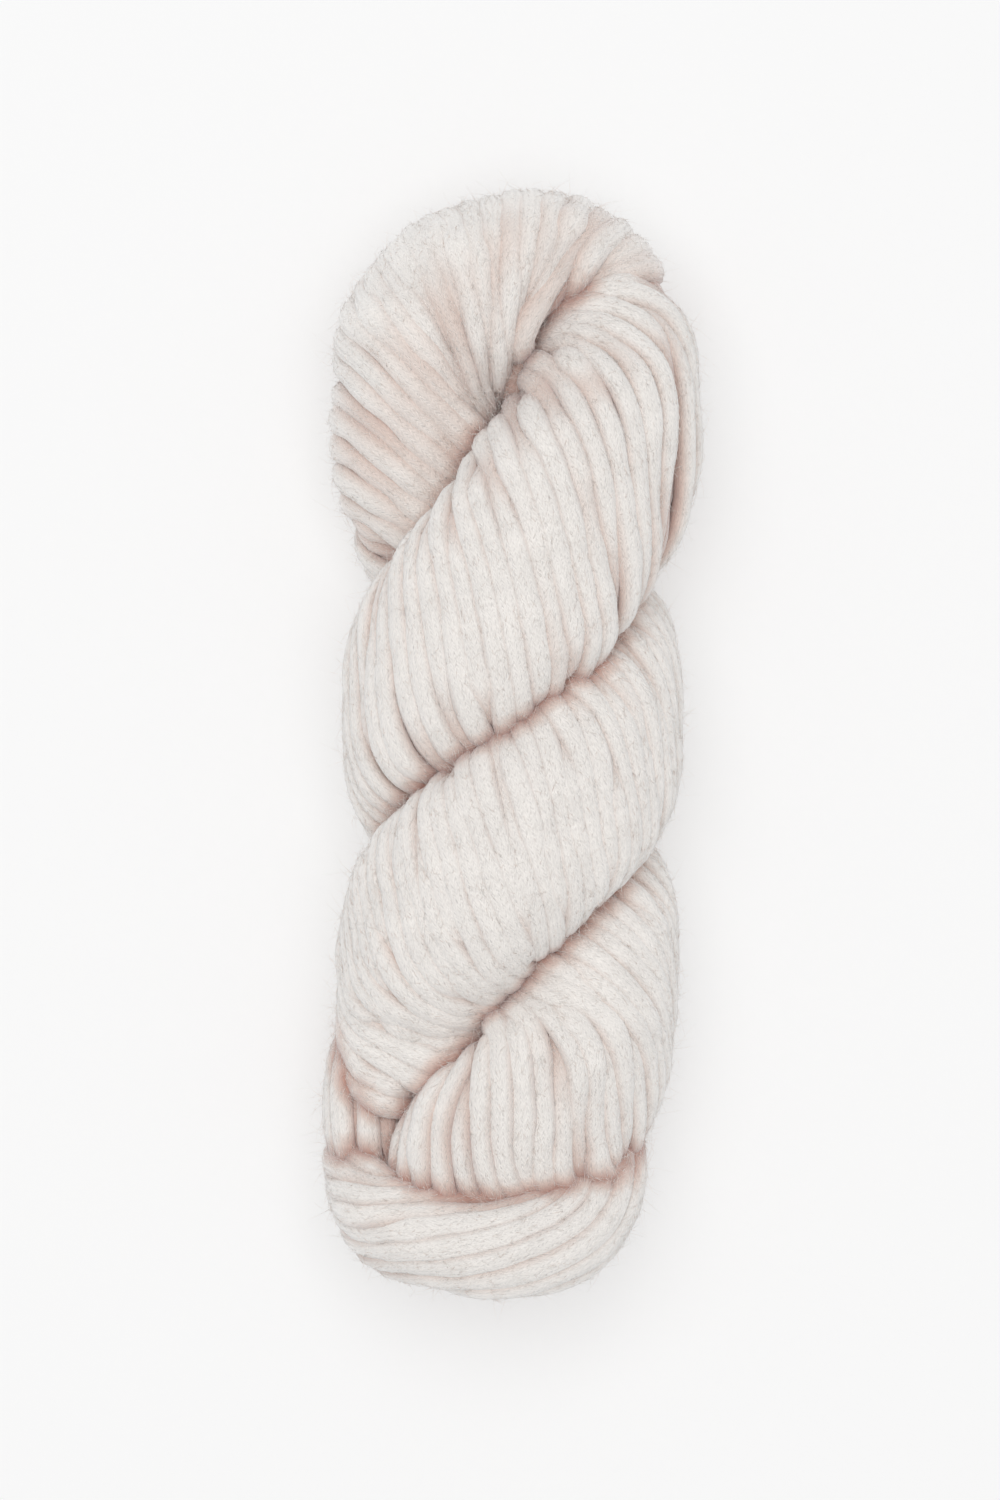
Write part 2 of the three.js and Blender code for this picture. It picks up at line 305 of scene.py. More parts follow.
def layStrands(path, layers, rng):
    strands = []
    for layer, (count, level) in enumerate(layers):
        for i in range(count):
            start = fullTurn * (i + 0.5 * (layer % 2)) / count + rng.normal() * 0.2 / count
            angle = start + path["turned"] + yarn["wander"] * slowWave(rng, path["place"], 120)
            share = level + yarn["levelWander"] * slowWave(rng, path["place"], 90)
            low = fan["under"] * underFan(path, angle) if "fanAngle" in path else np.zeros(len(angle))
            share = share - low / hank["radius"]
            across, up = np.cos(angle), np.sin(angle)
            k = sectionReach(angle, np.ones((len(angle), 3)))
            sizes = path["sizes"]
            outX = across * k * share * np.where(across > 0, sizes[:, 0], sizes[:, 1])
            outY = up * k * share * sizes[:, 2]
            points = path["middle"] + path["outward"] * outX[:, None] + path["side"] * outY[:, None]
            lengths = np.concatenate([[0], np.cumsum(np.linalg.norm(np.diff(points, axis=0), axis=1))])
            at = np.linspace(0, lengths[-1], int(lengths[-1] / yarn["step"]) + 1)
            strands.append({
                "place": np.interp(at, lengths, path["place"]),
                "points": np.stack([np.interp(at, lengths, points[:, k]) for k in range(3)], -1),
                "share": np.interp(at, lengths, share),
                "low": np.interp(at, lengths, low),
            })
    return strands


def bundlePoint(path, w, angle, level):
    # a point of the bundle, so far round it and so far out
    place = np.interp(w, path["w"], path["place"])
    at = framesAt(path, place)
    radial = at["outward"] * np.cos(angle)[:, None] + at["side"] * np.sin(angle)[:, None]
    return place, at["middle"] + radial * (sectionReach(angle, at["sizes"]) * level)[:, None], radial


def straightSeenFromAbove(path, row, angles):
    # for each angle from the outer edge to the crease: the place where the bundle's skin meets the
    # upright plane through that edge point
    lean = math.radians(row[2])
    square = np.array([math.cos(lean), math.sin(lean)])
    w = np.linspace(*fan["search"], 561)
    found = []
    for angle in angles:
        skin = bundlePoint(path, w, np.full(len(w), angle), fan["level"])[1][:, :2]
        off = (skin - row[:2]) @ square
        i = np.flatnonzero(off[1:] * off[:-1] <= 0)
        places = w[i] + (w[1] - w[0]) * off[i] / (off[i] - off[i + 1])
        if found:
            far = np.abs(places - found[-1])
            found.append(places[np.argmin(far)] if len(i) and far.min() < fan["jump"] else found[-1])
        else:
            # the first is the skin's point nearest to the edge point, and almost in the plane
            far = np.linalg.norm(skin - row[:2], axis=1) + np.abs(off) * 20
            found.append(w[np.argmin(far)])
    return np.array(found)


def smoothAlong(rows, size):
    # a running mean of that many points down each strand, its ends held
    half = size // 2
    padded = np.concatenate([rows[:, :1].repeat(half, 1), rows, rows[:, -1:].repeat(half, 1)], 1)
    total = np.cumsum(np.concatenate([np.zeros_like(padded[:, :1]), padded], 1), 1)
    return (total[:, size:] - total[:, :-size]) / size


def fanRowAt(t):
    # between the rows that are given, for one place or many
    return np.stack([np.interp(t, np.arange(len(fanRows)), fanRows[:, k]) for k in range(3)], -1)


def layFan(path, rng):
    # first how far apart the strands cross a line a little inside the outer edge
    t = np.linspace(0, len(fanRows) - 1, 400)
    fine = fanRowAt(t)
    heading = np.stack([np.sin(np.radians(fine[:, 2])), -np.cos(np.radians(fine[:, 2]))], -1)
    inside = np.gradient(fine[:, :2] + heading * fan["inside"], axis=0)
    apart = np.abs(inside[:, 0] * heading[:, 1] - inside[:, 1] * heading[:, 0])
    run = np.concatenate([[0], np.cumsum((apart[1:] + apart[:-1]) / 2)])
    count = int(run[-1] / fan["pitch"]) + 1
    at = np.interp(np.linspace(0, run[-1], count) + rng.normal(0, fan["wander"], count), run, t)
    # then each strand, from the crease over the edge and down the back, which mirrors the front
    angles = np.radians(np.linspace(0, fan["round"], fan["angles"]))
    both = np.concatenate([-angles[:0:-1], angles])
    places, rows, radials, lines = [], [], [], []
    for k in at:
        w = straightSeenFromAbove(path, fanRowAt(k), angles)
        w = smoothAlong(w[None, :, None], fan["smooth"])[0, :, 0]
        w = np.concatenate([2 * w[0] - w[:0:-1], w])
        level = fan["level"] + fan["levelWander"] * slowWave(rng, both * hank["radius"], fan["wave"])
        place, points, radial = bundlePoint(path, w, both, level)
        places.append(place)
        rows.append(points)
        radials.append(radial)
        lines.append(w)
    path["fanAngle"], path["fanFirst"], path["fanLast"] = both, lines[0], lines[-1]
    # towards the crease they get crowded: they narrow, and every other one sinks under its neighbours
    rows = smoothAlong(np.array(rows), fan["smooth"])
    heading = unit(np.gradient(rows, axis=1))
    gap = np.linalg.norm(np.cross(rows[1:] - rows[:-1], heading[1:]), axis=2)
    room = np.minimum(np.vstack([gap, gap[-1:]]), np.vstack([gap[:1], gap])) / fan["pitch"]
    room = smoothAlong(np.minimum(room, fan["slim"][1])[..., None], fan["roomSmooth"])[..., 0]
    strands = []
    for i in range(count):
        sunk = (np.clip(fan["crowded"] - room[i], 0, 0.4) / 0.4 * fan["sink"] * (i % 2))[:, None]
        strands.append({"place": places[i], "points": rows[i] - radials[i] * sunk,
                        "slim": np.clip(fan["slimRate"] * room[i], *fan["slim"])})
    return strands


def framesAt(path, place):
    frames = {}
    for name in ("middle", "along", "outward", "side", "sizes"):
        table = path[name]
        frames[name] = np.stack([np.interp(place, path["place"], table[:, k]) for k in range(3)], -1)
    for name in ("along", "outward", "side"):
        frames[name] = unit(frames[name])
    return frames


def nearPairs(points, owner, order, reach):
    # pairs of points of different strands within reach, found on a grid of cells
    cells = np.floor(points / reach).astype(np.int64)
    cells -= cells.min(0) - 1
    wide = cells.max(0) + 2
    key = (cells[:, 0] * wide[1] + cells[:, 1]) * wide[2] + cells[:, 2]
    rank = np.argsort(key, kind="stable")
    sortedKey = key[rank]
    firsts, seconds = [], []
    for dx in (-1, 0, 1):
        for dy in (-1, 0, 1):
            for dz in (-1, 0, 1):
                off = (dx * wide[1] + dy) * wide[2] + dz
                if off < 0:
                    continue
                low = np.searchsorted(sortedKey, key + off, "left")
                count = np.searchsorted(sortedKey, key + off, "right") - low
                a = np.repeat(np.arange(len(points)), count)
                inner = np.arange(count.sum()) - np.repeat(np.cumsum(count) - count, count)
                b = rank[np.repeat(low, count) + inner]
                keep = a < b if off == 0 else np.ones(len(a), bool)
                firsts.append(a[keep])
                seconds.append(b[keep])
    a, b = np.concatenate(firsts), np.concatenate(seconds)
    keep = ((points[a] - points[b]) ** 2).sum(1) < reach ** 2
    keep &= ~((owner[a] == owner[b]) & (np.abs(order[a] - order[b]) < 4))
    return a[keep], b[keep]


def settleStrands(path, strands):
    # strands push each other apart, spring back to their own depth and stay inside the bundle
    thick, step = yarn["thick"], yarn["step"]
    points = np.concatenate([s["points"] for s in strands])
    place = np.concatenate([s["place"] for s in strands])
    share = np.concatenate([s["share"] for s in strands])
    low = np.concatenate([s["low"] for s in strands])
    owner = np.concatenate([np.full(len(s["points"]), i) for i, s in enumerate(strands)])
    order = np.concatenate([np.arange(len(s["points"])) for s in strands])
    index = np.arange(len(points))
    before = np.where(order == 0, index, index - 1)
    after = np.where(np.append(order[1:] == 0, True), index, index + 1)
    home = points.copy()
    at = framesAt(path, place)
    for turn in range(yarn["rounds"]):
        if turn % 10 == 0:
            a, b = nearPairs(points, owner, order, yarn["loose"] * 1.25)   # with room to move
        along = unit(points[after] - points[before])
        both = along[a] + along[b] * np.sign((along[a] * along[b]).sum(1, keepdims=True) + 1e-9)
        both = unit(both)
        gap = points[b] - points[a]
        slide = (gap * both).sum(1, keepdims=True)
        gap = gap - slide * both
        distance = np.linalg.norm(gap, axis=1)
        beside = np.abs(slide[:, 0]) < step * 0.75
        touching = beside & (distance < thick)
        force = np.maximum(thick - distance, 0) * yarn["push"] \
            + np.maximum(yarn["loose"] - distance, 0) * yarn["spread"]
        push = gap * (np.where(beside, force, 0) / (distance + 1e-6))[:, None]
        move = np.stack([np.bincount(b, push[:, k], len(points)) - np.bincount(a, push[:, k], len(points))
                         for k in range(3)], -1)
        touches = np.bincount(a, touching, len(points)) + np.bincount(b, touching, len(points))
        points = points + move / np.maximum(touches, 1)[:, None] * yarn["pushRate"]
        points = points + yarn["stiff"] * ((points[before] + points[after]) / 2 - points)
        offset = points - at["middle"]
        x = (offset * at["outward"]).sum(1)
        y = (offset * at["side"]).sum(1)
        z = np.clip((offset * at["along"]).sum(1), -yarn["slide"], yarn["slide"])
        radius = np.hypot(x, y)
        edge = sectionReach(np.arctan2(y, x), at["sizes"])
        wanted = radius + (edge * share - radius) * yarn["homing"]
        wanted = np.minimum(wanted, edge - thick * yarn["skin"] - low)
        scale = wanted / np.maximum(radius, 1e-6)
        points = at["middle"] + at["outward"] * (x * scale)[:, None] + at["side"] * (y * scale)[:, None] \
            + at["along"] * z[:, None]
        shift = points - home
        for smoothing in range(2):
            shift = shift + yarn["smoothing"] * ((shift[before] + shift[after]) / 2 - shift)
        points = home + shift
    first = 0
    for s in strands:
        s["points"] = points[first:first + len(s["points"])]
        first += len(s["points"])
    return strands


def settledDown(points):
    # the hank lies on the floor: flattened, and pressed where it touches
    low = hank["pressed"]
    z = points[:, 2] * hank["squash"] + hank["restHeight"]
    z = np.where(z < low, low * np.exp(np.minimum(z, low) / low - 1), z) - hank["flatCut"]
    return np.stack([points[:, 0] + hank["shiftX"], points[:, 1], z], -1)


# A strand's own body.
strand = {
    "halfWide": 3.4,      # mm, along the bundle's surface
    "halfHigh": 2.5,      # mm, outwards
    "step": 3.3,          # mm between its rings
    "sides": 10,
    "uneven": 0.072,      # how much its thickness changes along it,
    "wave": 60,           # over so many mm,
    "unlike": 0.06,       # and from strand to strand
    "tip": 3.0,           # mm over which its end rounds off,
    "tipSize": 0.15,      # down to the root of this share
    "lowest": 0.15,       # mm above the floor
}
columns = ("points", "outward", "under", "place", "slim")    # what is known at each point of a strand


def resample(points, step):
    # an even, smooth curve through the strand's points
    fine = curveThrough(points, (len(points) - 1) * 6 + 1)
    lengths = np.concatenate([[0], np.cumsum(np.linalg.norm(np.diff(fine, axis=0), axis=1))])
    at = np.linspace(0, lengths[-1], max(int(lengths[-1] / step), 4) + 1)
    return np.stack([np.interp(at, lengths, fine[:, k]) for k in range(fine.shape[1])], -1), at


def ringAngles():
    return np.linspace(0, fullTurn, strand["sides"], endpoint=False) - quarterTurn    # seam underneath


def tubeRings(points, outward, fat):
    along = unit(np.gradient(points, axis=0))
    up = unit(outward - (outward * along).sum(-1, keepdims=True) * along)
    side = np.cross(along, up)
    c, s = np.cos(ringAngles())[None, :, None], np.sin(ringAngles())[None, :, None]
    halfWide, halfHigh = strand["halfWide"] * fat[:, None, None], strand["halfHigh"] * fat[:, None, None]
    return points[:, None] + side[:, None] * c * halfWide + up[:, None] * s * halfHigh


def meshFrom(name, verts, faceSets, uvs=None, depth=None):
    # verts in mm, face sets of 3, 4 or more corners each
    mesh = bpy.data.meshes.new(name)
    faceSets = [f for f in faceSets if len(f)]
    loops = np.concatenate([f.reshape(-1) for f in faceSets]).astype(np.int32)
    corners = np.concatenate([np.full(len(f), f.shape[1]) for f in faceSets])
    starts = np.concatenate([[0], np.cumsum(corners)[:-1]]).astype(np.int32)
    mesh.vertices.add(len(verts))
    mesh.vertices.foreach_set("co", (verts * mm).astype(np.float32).reshape(-1))
    mesh.loops.add(len(loops))
    mesh.loops.foreach_set("vertex_index", loops)
    mesh.polygons.add(len(starts))
    mesh.polygons.foreach_set("loop_start", starts)
    if uvs is not None:
        layer = mesh.uv_layers.new(name="strand")
        layer.data.foreach_set("uv", uvs.astype(np.float32).reshape(-1))
    # depth holds the painted shade of each point, from 0 to 1
    if depth is not None:
        attribute = mesh.attributes.new("depth", "FLOAT", "POINT")
        attribute.data.foreach_set("value", depth.astype(np.float32))
    mesh.update(calc_edges=True)
    mesh.validate()
    mesh.shade_smooth()
    piece = bpy.data.objects.new(name, mesh)
    bpy.context.scene.collection.objects.link(piece)
    return piece


def tubesMesh(name, tubes):
    # closed tubes, each from its rings of points and the length at each ring, joined into one mesh
    quads, caps, uvs = [], [], []
    base = 0
    for tube in tubes:
        n, sides = tube["rings"].shape[:2]
        i, j = np.meshgrid(np.arange(n - 1), np.arange(sides), indexing="ij")
        k = (j + 1) % sides
        corners = [i * sides + j, i * sides + k, (i + 1) * sides + k, (i + 1) * sides + j]
        quads.append(base + np.stack(corners, -1).reshape(-1, 4))
        u0, u1 = j / sides, (j + 1) / sides
        v0, v1 = tube["lengths"][i], tube["lengths"][i + 1]
        uvs.append(np.stack([u0, v0, u1, v0, u1, v1, u0, v1], -1).reshape(-1, 2))
        caps.append(base + np.arange(sides)[::-1])
        caps.append(base + (n - 1) * sides + np.arange(sides))
        base += n * sides
    caps = np.array(caps)
    verts = np.concatenate([t["rings"].reshape(-1, 3) for t in tubes])
    # the painted shade of each ring point
    depth = np.concatenate([t["paintedShade"].reshape(-1) for t in tubes])
    uvs = np.concatenate(uvs + [np.zeros((caps.size, 2))])
    return meshFrom(name, verts, [np.concatenate(quads), caps], uvs, depth)


def wornStrands(path, strands, rng, withNose):
    # from the pushed-apart points to smooth lines in the settled hank
    lines = []
    for s in strands:
        at = framesAt(path, s["place"])
        offset = s["points"] - at["middle"]
        x, y = (offset * at["outward"]).sum(1), (offset * at["side"]).sum(1)
        depth = sectionReach(np.arctan2(y, x), at["sizes"]) - np.hypot(x, y)
        radial = at["outward"] * x[:, None] + at["side"] * y[:, None]
        lines.append({"points": s["points"], "outward": radial, "under": depth[:, None],
                      "place": s["place"][:, None], "slim": s.get("slim", np.ones(len(x)))[:, None]})
    if withNose:
        joinNose(path, lines)
    done = []
    for line in lines:
        both, lengths = resample(np.hstack([line[k] for k in columns]), strand["step"])
        points = settledDown(both[:, :3])
        wave = slowWave(rng, lengths, strand["wave"])
        fat = 1 + strand["uneven"] * wave + rng.normal() * strand["unlike"]
        done.append({"points": points, "outward": both[:, 3:6] * (1, 1, hank["squash"]), "lengths": lengths,
                     "under": both[:, 6], "place": both[:, 7], "fat": both[:, 8] * fat})
    return done


def joinNose(path, lines):
    # the second bundle's strands fold over at its end, front to back
    last = {name: path[name][-1] for name in ("middle", "outward", "side", "along", "sizes")}
    ends = []
    for line in lines:
        offset = line["points"][-1] - last["middle"]
        ends.append(((offset * last["outward"]).sum(), (offset * last["side"]).sum()))
    front = sorted([i for i, e in enumerate(ends) if e[0] > 0], key=lambda i: ends[i][1])
    back = sorted([i for i, e in enumerate(ends) if e[0] <= 0], key=lambda i: ends[i][1])
    for i, j in zip(front, back):
        (x1, y1), (x2, y2) = ends[i], ends[j]
        phase = np.linspace(0, math.pi, 10)[1:-1]
        x = (x1 + x2) / 2 + (x1 - x2) / 2 * np.cos(phase)
        y = (y1 + y2) / 2 + (y1 - y2) / 2 * np.cos(phase)
        wide = np.sqrt(np.clip(1 - (y / last["sizes"][2]) ** 2, 0.05, 1))
        far = yarn["noseLength"] * np.sin(phase) * wide * min(1, (x1 - x2) / 2 / last["sizes"][0])
        local = last["outward"] * x[:, None] + last["side"] * y[:, None]
        cap = last["middle"] + local + last["along"] * far[:, None]
        outward = last["outward"] * x[:, None] + last["side"] * y[:, None] * 0.3 \
            + last["along"] * far[:, None]
        one = np.ones((len(phase), 1))
        bend = {"points": cap, "outward": outward, "under": lines[i]["under"][-1, 0] * one,
                "place": path["place"][-1] * one, "slim": one}
        for name in columns:
            lines[i][name] = np.vstack([lines[i][name], bend[name], lines[j][name][::-1]])
        lines[j]["points"] = None
    lines[:] = [line for line in lines if line["points"] is not None]


# Painted shade: where two bundles meet, little light gets in, and the deeper between the strands, the less,
# so the colour there is painted darker. All in mm.
creaseShade = {
    "reach": 7.4,             # how near another bundle's strand begins to darken the skin,
    "touch": 2.6,             # and how near it darkens it fully
    "fade": 1.6,
    "apart": 28.0,            # along a bundle; strands nearer than this belong together
    "grooveDepth": (0.7, 5.9),  # below the bundle's skin, where a groove begins and is darkest
}


def addRings(lines):
    # the skin of each strand, and how much painted shade each point of it gets for lying below the bundle's
    # skin
    for line in lines:
        rings = tubeRings(line["points"], line["outward"], line["fat"])
        toEnd = np.minimum(line["lengths"], line["lengths"][-1] - line["lengths"])
        size = np.sqrt(np.minimum(1, toEnd / strand["tip"] + strand["tipSize"]))
        middle = line["points"][:, None]
        line["rings"] = middle + (rings - middle) * size[:, None, None]
        line["rings"][..., 2] = np.maximum(line["rings"][..., 2], strand["lowest"])
        # painted shade: the deeper below the bundle's skin, the darker
        under = line["under"][:, None] - strand["halfHigh"] * np.sin(ringAngles())
        first, full = creaseShade["grooveDepth"]
        line["paintedShade"] = np.clip((under - first) / (full - first), 0, 1)


def paintCreaseShade(groups):
    # paints shade into the skin that faces another bundle's strand close by
    lines = [line for group in groups for line in group]
    points = np.concatenate([l["points"] for l in lines])
    rings = np.concatenate([l["rings"] for l in lines])
    place = np.concatenate([l["place"] + 1000 * g for g, group in enumerate(groups) for l in group])
    own = np.concatenate([np.full(len(l["points"]), i) for i, l in enumerate(lines)])
    a, b = nearPairs(points, own, np.arange(len(points)), creaseShade["reach"] + strand["halfWide"])
    other = np.abs(place[a] - place[b]) > creaseShade["apart"]
    a, b = a[other], b[other]
    nearest = np.full(rings.shape[:2], creaseShade["reach"])
    along = np.concatenate([unit(np.gradient(l["points"], axis=0)) for l in lines])
    for one, two in ((a, b), (b, a)):
        away = rings[one] - points[two][:, None]
        slide = (away * along[two][:, None]).sum(2, keepdims=True)
        away = away - along[two][:, None] * slide.clip(-strand["step"] / 2, strand["step"] / 2)
        away = np.linalg.norm(away, axis=2)
        # skin that faces away from the other strand counts as further off
        behind = away - np.linalg.norm(points[one] - points[two], axis=1)[:, None]
        np.minimum.at(nearest, one, away + 1.5 * np.maximum(behind, 0))
    dark = (creaseShade["reach"] - nearest) / (creaseShade["reach"] - creaseShade["touch"])
    dark = np.clip(dark, 0, 1) ** creaseShade["fade"]
    first = 0
    for line in lines:
        last = first + len(line["points"])
        line["paintedShade"] = 1 - (1 - line["paintedShade"]) * (1 - dark[first:last])
        first = last


# Plain bodies inside the strands, so that no light passes between them. Their colour carries painted shade.
inside = {
    "rope": 0.82, "eye": 0.80,      # of the bundle's section
    "ropeEvery": 24, "eyeEvery": 16,  # points of the path from ring to ring
    "sides": 28,
    "lowest": 1.0,                  # mm above the floor
    # painted shade of the inner bodies and of the fillings, from 0 to 1
    "paintedShade": 0.5, "fillingPaintedShade": 0.6,
    "fillingRings": 14,
}
# Half sizes and middle, in mm, of the rounded ones in the fold's bend and in the nose.
foldFilling = ((15, 15, 16), (3.46, 91, 25.3))
noseFilling = ((21, 12.5, 11.5), (0.5, -107, 32))


def innerBody(path, share, every):
    rows = np.arange(0, len(path["place"]), every)
    sides = inside["sides"]
    angle = np.linspace(0, fullTurn, sides, endpoint=False)
    rings = []
    for r in rows:
        sizes = np.repeat(path["sizes"][r][None], sides, 0)
        reach = sectionReach(angle, sizes) * share
        ring = path["middle"][r] + path["outward"][r] * (np.cos(angle) * reach)[:, None] \
            + path["side"][r] * (np.sin(angle) * reach)[:, None]
        rings.append(settledDown(ring))
    rings = np.array(rings)
    rings[..., 2] = np.maximum(rings[..., 2], inside["lowest"])
    return {"rings": rings, "lengths": path["place"][rows],
            "paintedShade": np.full(rings.shape[:2], inside["paintedShade"])}


def roundedBody(filling):
    size, middle = np.array(filling)
    rings, sides = inside["fillingRings"], inside["sides"]
    rise = np.linspace(-quarterTurn * 0.97, quarterTurn * 0.97, rings)
    angle = np.linspace(0, fullTurn, sides, endpoint=False)
    body = np.stack([np.cos(rise)[:, None] * np.cos(angle), np.cos(rise)[:, None] * np.sin(angle),
                     np.sin(rise)[:, None] * np.ones(sides)], -1)
    return {"rings": body * size + middle, "lengths": rise * size[2],
            "paintedShade": np.full((rings, sides), inside["fillingPaintedShade"])}


def toLinear(hexColour):
    channels = [int(hexColour[i:i + 2], 16) / 255 for i in (1, 3, 5)]
    return [c / 12.92 if c <= 0.04045 else ((c + 0.055) / 1.055) ** 2.4 for c in channels] + [1.0]


def addNode(tree, kind, settings=None, links=None):
    # settings: node properties by name, or input values by socket; links: input socket -> output
    node = tree.nodes.new(kind)
    for key, value in (settings or {}).items():
        if isinstance(key, int) or key in node.inputs:
            node.inputs[key].default_value = value
        else:
            setattr(node, key, value)
    for key, source in (links or {}).items():
        tree.links.new(source, node.inputs[key])
    return node


# Brushed wool chainette: a fine tube knitted from undyed wool and then brushed. To the eye that is
# matt and pale, with columns of small V stitches, a bright soft edge and pinkish shade between strands;
# that shade, the creases' shade and the stitches' light and shade are painted into the colour.
wool = {
    "pale": "#F9F4EF",
    "grooveShade": "#E7D4CA",      # painted shade between strands, warm because light that has passed through wool is warmer
    # painted shade where bundles meet and deep in the grooves
    "creaseShade": "#B98473",
    "grooveShare": 0.3,       # of the darkening, where the first gives way to the second
    "wales": 15,              # stitch columns round a strand, 1.3 mm each
    "stitch": 1.7,            # mm a stitch; the real one is about 1, drawn a little coarser to show
    "slant": 2.6,             # how far a stitch's legs lean along the strand
    "uneven": 350.0,          # a metre: stitches stray over about 3 mm,
    "stray": 2.2,             # by so many stitches
    "streak": 0.45,           # how much fibres drawn along the strand show, set against stitches
    "stitchShade": (0.84, 1.06),    # darkest and lightest, between stitches and on them: painted shade and painted highlight of the stitches' relief
    "cloud": 120.0,           # a metre: patches of about 8 mm are paler or darker,
    "cloudy": (0.95, 1.03),   # between these
    "bump": 0.6,              # mm
    "roughness": 0.9,         # brushed wool has no shine
    "sheen": 1.0,             # its fibre ends catch light at the edges
    "sheenSpread": 0.6,
    "ior": 1.5,               # a little under wool's own 1.55
}


def woolMaterial():
    material = bpy.data.materials.new("brushed wool chainette")
    material.use_nodes = True
    tree = material.node_tree
    tree.nodes.clear()
    uv = addNode(tree, "ShaderNodeUVMap", {"uv_map": "strand"})
    parts = addNode(tree, "ShaderNodeSeparateXYZ", None, {0: uv.outputs[0]})
    coords = addNode(tree, "ShaderNodeTexCoord")
    here = {"Vector": coords.outputs["Object"]}
    # stitches: rows along the strand, bent into a V across each column
    wale = addNode(tree, "ShaderNodeMath", {"operation": "MULTIPLY", 1: wool["wales"]},
                   {0: parts.outputs[0]})
    across = addNode(tree, "ShaderNodeMath", {"operation": "PINGPONG", 1: 0.5}, {0: wale.outputs[0]})
    slant = addNode(tree, "ShaderNodeMath", {"operation": "MULTIPLY", 1: wool["slant"]},
                    {0: across.outputs[0]})
    cloud = addNode(tree, "ShaderNodeTexNoise", {"Scale": wool["cloud"], "Detail": 3.0}, here)
    uneven = addNode(tree, "ShaderNodeTexNoise", {"Scale": wool["uneven"], "Detail": 2.0}, here)
    row = addNode(tree, "ShaderNodeMath", {"operation": "DIVIDE", 1: wool["stitch"]},
                  {0: parts.outputs[1]})
    vee = addNode(tree, "ShaderNodeMath", {"operation": "ADD"}, {0: row.outputs[0], 1: slant.outputs[0]})
    moved = addNode(tree, "ShaderNodeMath", {"operation": "MULTIPLY_ADD", 1: wool["stray"]},
                    {0: uneven.outputs[0], 2: vee.outputs[0]})
    leg = addNode(tree, "ShaderNodeMath", {"operation": "PINGPONG", 1: 0.5}, {0: moved.outputs[0]})
    stitch = addNode(tree, "ShaderNodeMath", {"operation": "MULTIPLY"},
                     {0: leg.outputs[0], 1: across.outputs[0]})
    drawn = addNode(tree, "ShaderNodeVectorMath", {"operation": "MULTIPLY", 1: (16.0, 0.2, 1.0)},
                    {0: uv.outputs[0]})
    streak = addNode(tree, "ShaderNodeTexNoise", {"Scale": 3.0, "Detail": 3.0},
                     {"Vector": drawn.outputs[0]})
    height = addNode(tree, "ShaderNodeMath", {"operation": "MULTIPLY_ADD", 1: wool["streak"]},
                     {0: streak.outputs[0], 2: stitch.outputs[0]})
    # colour: pale, then pinkish painted shade in the grooves, then the darker painted shade of the creases,
    # with painted stitch shade and highlight, and random paler or darker clouds
    # the painted shade of each point, from 0 to 1, kept on the mesh as depth
    depth = addNode(tree, "ShaderNodeAttribute", {"attribute_name": "depth"})
    shallow = addNode(tree, "ShaderNodeMapRange", {1: 0.0, 2: wool["grooveShare"]},
                      {0: depth.outputs["Fac"]})
    deep = addNode(tree, "ShaderNodeMapRange", {1: wool["grooveShare"], 2: 1.0},
                   {0: depth.outputs["Fac"]})
    first = addNode(tree, "ShaderNodeMix", {"data_type": "RGBA", 6: toLinear(wool["pale"]),
                                            7: toLinear(wool["grooveShade"])}, {0: shallow.outputs[0]})
    tone = addNode(tree, "ShaderNodeMix", {"data_type": "RGBA", 7: toLinear(wool["creaseShade"])},
                   {0: deep.outputs[0], 6: first.outputs[2]})
    # painted shade between the stitches and painted highlight on them, from the stitches' height
    low, high = wool["stitchShade"]
    stitchShade = addNode(tree, "ShaderNodeMapRange", {1: 0.12, 2: 0.42, 3: low, 4: high},
                    {0: height.outputs[0]})
    low, high = wool["cloudy"]
    cloudy = addNode(tree, "ShaderNodeMapRange", {1: 0.3, 2: 0.7, 3: low, 4: high},
                     {0: cloud.outputs[0]})
    value = addNode(tree, "ShaderNodeMath", {"operation": "MULTIPLY"},
                    {0: stitchShade.outputs[0], 1: cloudy.outputs[0]})
    colour = addNode(tree, "ShaderNodeVectorMath", {"operation": "SCALE"},
                     {0: tone.outputs[2], "Scale": value.outputs[0]})
    bump = addNode(tree, "ShaderNodeBump", {"Strength": 1.0, "Distance": wool["bump"] * mm},
                   {"Height": height.outputs[0]})
    shader = addNode(tree, "ShaderNodeBsdfPrincipled",
                     {"Roughness": wool["roughness"], "Sheen Weight": wool["sheen"],
                      "Sheen Roughness": wool["sheenSpread"], "IOR": wool["ior"],
                      "Specular IOR Level": 0.2},
                     {"Base Color": colour.outputs[0], "Normal": bump.outputs[0]})
    addNode(tree, "ShaderNodeOutputMaterial", None, {"Surface": shader.outputs[0]})
    return material


def wear(piece, material):
    piece.data.materials.append(material)
    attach(piece, "root")
    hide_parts("hank")


seed = yarn["seed"]
rng = np.random.default_rng(seed)
rope = ropePath()
eye = eyePath()
fanStrands = layFan(rope, np.random.default_rng(seed + 1))
ropeStrands = settleStrands(rope, layStrands(rope, yarn["layers"], rng))
eyeStrands = settleStrands(eye, layStrands(eye, yarn["eyeLayers"], rng))
print("strands laid")

